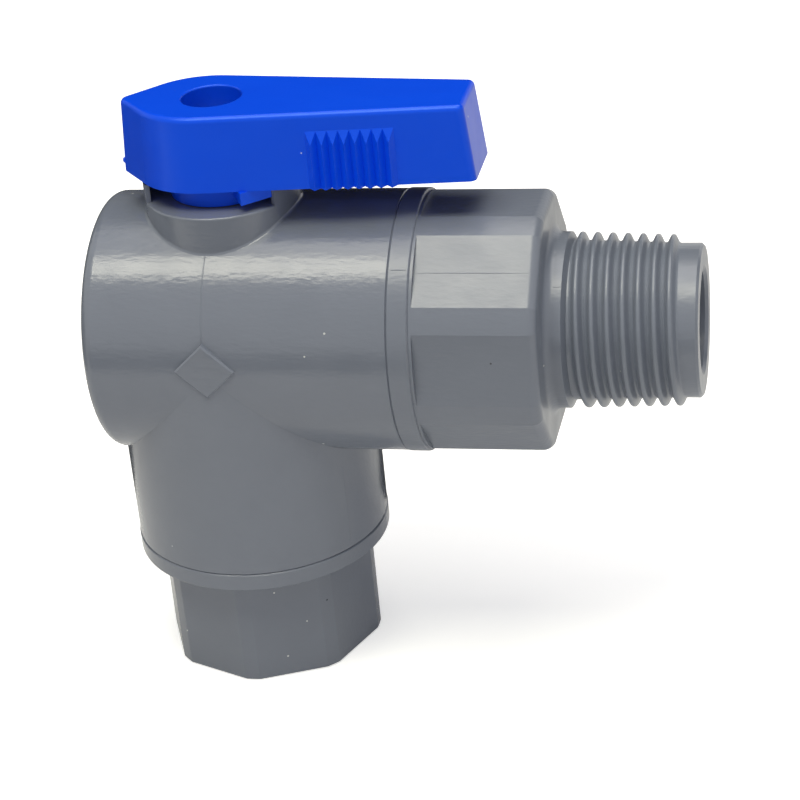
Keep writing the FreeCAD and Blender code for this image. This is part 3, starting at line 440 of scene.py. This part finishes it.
def make_floor():
    """A plain pale floor, a hair below the outlet's mouth, that looks white around the shadow."""
    bpy.ops.mesh.primitive_plane_add(size=FLOOR_WIDTH, location=(0, 0, -FLOOR_GAP))
    floor = bpy.context.object
    floor.name = "floor"
    material, place, output = blank("pale_floor")
    diffuse = add(material, "ShaderNodeBsdfDiffuse", {"Color": linear("#f0f0f0")})
    rays = add(material, "ShaderNodeLightPath")
    mirrored = add(material, "ShaderNodeMath", {0: rays.outputs["Is Glossy Ray"],
                                                1: rays.outputs["Is Transmission Ray"]},
                   operation="MAXIMUM")
    mirrored = add(material, "ShaderNodeMath", {0: mirrored.outputs[0], 1: 0.06}, operation="MULTIPLY")
    # beyond the lamps' reach the floor would turn grey, so its own white grows with the distance
    away = add(material, "ShaderNodeVectorMath", {0: place}, operation="LENGTH")
    direct = add(material, "ShaderNodeMapRange", {"Value": away.outputs["Value"], "From Min": 0.2,
                                                  "From Max": 0.9, "To Min": 0.5, "To Max": 1.0})
    lift = add(material, "ShaderNodeMath", {0: rays.outputs["Is Camera Ray"], 1: direct.outputs[0],
                                            2: mirrored.outputs[0]}, operation="MULTIPLY_ADD")
    white = add(material, "ShaderNodeEmission", {"Color": (1, 1, 1, 1), "Strength": lift.outputs[0]})
    glow = add(material, "ShaderNodeAddShader", {0: diffuse.outputs[0], 1: white.outputs[0]})
    material.node_tree.links.new(glow.outputs[0], output.inputs["Surface"])
    floor.data.materials.append(material)


def make_world():
    """White behind the valve; the light that reaches it is softer and comes mostly from the front right."""
    world = bpy.data.worlds.new("studio")
    bpy.context.scene.world = world
    world.use_nodes = True
    world.node_tree.nodes.clear()
    output = add(world, "ShaderNodeOutputWorld")
    rays = add(world, "ShaderNodeLightPath")
    shown = add(world, "ShaderNodeMath", {0: rays.outputs["Is Camera Ray"],
                                          1: rays.outputs["Is Glossy Ray"]}, operation="MAXIMUM")
    shown = add(world, "ShaderNodeMath", {0: shown.outputs[0], 1: rays.outputs["Is Transmission Ray"]},
                operation="MAXIMUM")
    white = add(world, "ShaderNodeBackground", {"Color": (1, 1, 1, 1), "Strength": 1.0})
    place = add(world, "ShaderNodeTexCoord").outputs["Generated"]
    ahead = add(world, "ShaderNodeVectorMath", {0: place, 1: LIGHT_COMES_FROM}, operation="DOT_PRODUCT")
    level = add(world, "ShaderNodeMapRange", {"Value": ahead.outputs["Value"], "From Min": -0.4,
                                              "From Max": 1.0, "To Min": 0.04, "To Max": 0.56})
    room = add(world, "ShaderNodeBackground", {"Color": linear("#f8f8ff"), "Strength": level.outputs[0]})
    mixed = add(world, "ShaderNodeMixShader", {0: shown.outputs[0], 1: room.outputs[0],
                                               2: white.outputs[0]})
    world.node_tree.links.new(mixed.outputs[0], output.inputs["Surface"])


def softbox(name, middle, angle, length, depth, power, colour):
    """A rectangular lamp parallel to the barrel, at an angle above the front and aimed at its axis."""
    lamp = bpy.data.lights.new(name, "AREA")
    lamp.shape = "RECTANGLE"
    lamp.size = length
    lamp.size_y = depth
    lamp.energy = power
    lamp.color = linear(colour)[:3]
    holder = bpy.data.objects.new(name, lamp)
    bpy.context.scene.collection.objects.link(holder)
    tilt = math.radians(angle)
    holder.location = (middle, -LAMP_DISTANCE * math.cos(tilt),
                       AXIS_HEIGHT * MM + LAMP_DISTANCE * math.sin(tilt))
    holder.rotation_euler = (math.pi / 2 - tilt, 0, 0)


def make_lights():
    """A key softbox above the front, and the dimmer light that a ceiling sends back."""
    softbox("overhead_softbox", middle=-0.12, angle=70.5, length=0.76, depth=0.32, power=6.9,
            colour="#f9f6e4")
    softbox("ceiling_bounce", middle=0.10, angle=101.0, length=0.80, depth=0.70, power=5.3,
            colour="#fffcf6")


def leaning(left, right, foot, head):
    """Corners of a card from left to right in X; its foot and its head are each a place in Y and Z."""
    return [(left, *foot), (right, *foot), (right, *head), (left, *head)]


def lying(left, right, front, back):
    """Corners of a card just above the floor."""
    return leaning(left, right, (front, CARD_HEIGHT), (back, CARD_HEIGHT))


def make_flag():
    """Dark cards behind, beside and before the valve, so that tops, rims and the lever's side reflect less
    of the white room. Only reflections see them, and they cast no shadow."""
    cards = [
        leaning(-0.9, 1.3, (0.75, 0.28), (0.45, 1.15)),
        leaning(-0.5, 0.03, (0.115, 0.0), (0.2, 0.2)),
        [(-0.12, -0.06, 0.0), (-0.12, 0.13, 0.0), (-0.14, 0.13, 0.07), (-0.14, -0.06, 0.07)],
        lying(0.0, 0.03, 0.03, 0.10),
        lying(-0.075, -0.022, 0.026, 0.05),
        lying(-0.25, 0.15, -0.45, -0.122),
    ]
    corners = [Vector(corner) for card in cards for corner in card]
    mesh = bpy.data.meshes.new("rear_flag")
    mesh.from_pydata(corners, [], [range(start, start + 4) for start in range(0, len(corners), 4)])
    card = bpy.data.objects.new("rear_flag", mesh)
    bpy.context.scene.collection.objects.link(card)
    material, place, output = blank("black_card")
    nap = add(material, "ShaderNodeTexNoise", {"Vector": place, "Scale": per_metre(3)})
    shade = add(material, "ShaderNodeMix", {MIX_FACTOR: nap.outputs["Fac"], MIX_A: linear("#1c1c1e"),
                                            MIX_B: linear("#242426")}, data_type="RGBA")
    felt = add(material, "ShaderNodeBsdfDiffuse", {"Color": shade.outputs[MIX_RESULT]})
    material.node_tree.links.new(felt.outputs[0], output.inputs["Surface"])
    mesh.materials.append(material)
    card.visible_camera = False
    card.visible_diffuse = False
    card.visible_shadow = False


def make_camera():
    """The photograph's view: a long lens from the front right and above."""
    camera = bpy.data.objects.new("camera", bpy.data.cameras.new("camera"))
    bpy.context.scene.collection.objects.link(camera)
    right = Vector(CAMERA_RIGHT)
    back = right.cross(Vector(CAMERA_UP)).normalized()
    up = back.cross(right).normalized()
    turn = Matrix((right, up, back)).transposed().to_4x4()
    camera.matrix_world = Matrix.Translation(Vector(CAMERA_PLACE) * MM) @ turn
    camera.data.sensor_width = 36.0
    camera.data.lens = FOCAL_LENGTH
    camera.data.clip_start = 0.01
    camera.data.clip_end = 20.0
    bpy.context.scene.camera = camera


bpy.context.scene.view_settings.view_transform = "Standard"
dress_solids()
threads()
mould_lines()
gate_nub()
make_floor()
make_world()
make_lights()
make_flag()
make_camera()
